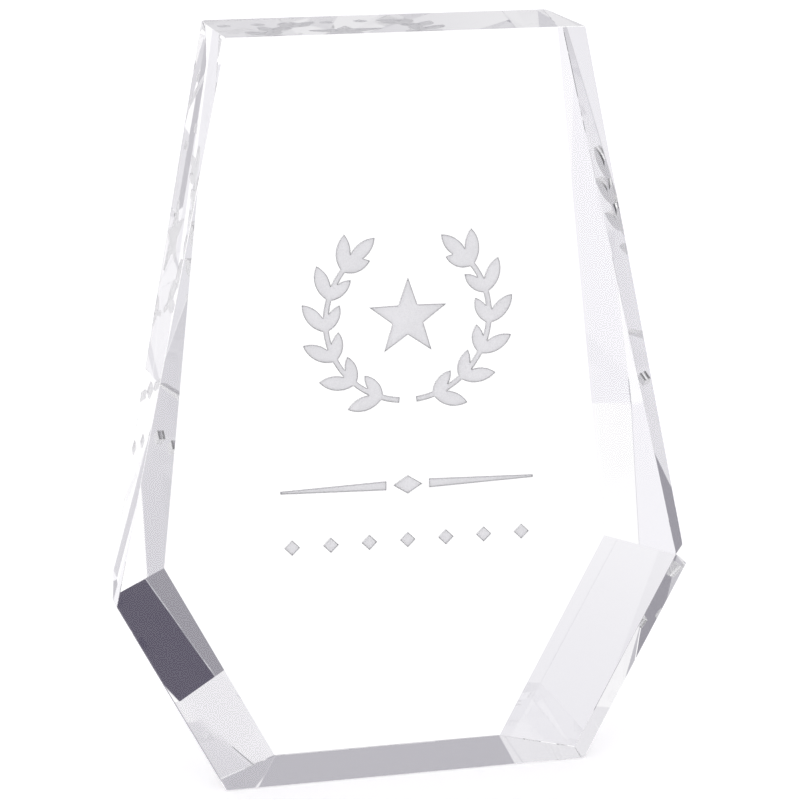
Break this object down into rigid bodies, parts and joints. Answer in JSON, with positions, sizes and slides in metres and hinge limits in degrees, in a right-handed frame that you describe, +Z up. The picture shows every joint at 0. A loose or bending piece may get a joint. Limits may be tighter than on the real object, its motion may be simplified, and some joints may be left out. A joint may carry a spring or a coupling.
{
  "type": "crystal award",
  "caption": "Free-standing faceted crystal award: a clear block, widest low down, with bevelled rear edges and a carved and filled laurel emblem.",
  "frame": {"origin": "middle of the block's bounding box at base level, where it stands", "axes": "+Z up, along the block's height; +X to the viewer's right; the engraved front face looks along -Y, and +Y runs through the thickness to the back"},
  "size_m": [0.1182, 0.0264, 0.152],
  "materials": {
    "crystal": "polished clear optical crystal",
    "engraving_fill": "matt pale grey colour fill in the sand-carved marks"
  },
  "bodies": {
    "root": {"crystal_block": "crystal", "fill_dot_1": "engraving_fill", "fill_dot_2": "engraving_fill", "fill_dot_3": "engraving_fill", "fill_dot_4": "engraving_fill", "fill_dot_5": "engraving_fill", "fill_dot_6": "engraving_fill", "fill_dot_7": "engraving_fill", "fill_rule_left": "engraving_fill", "fill_rule_lozenge": "engraving_fill", "fill_rule_right": "engraving_fill", "fill_star": "engraving_fill", "fill_wreath_left": "engraving_fill", "fill_wreath_right": "engraving_fill"}
  },
  "joints": []
}
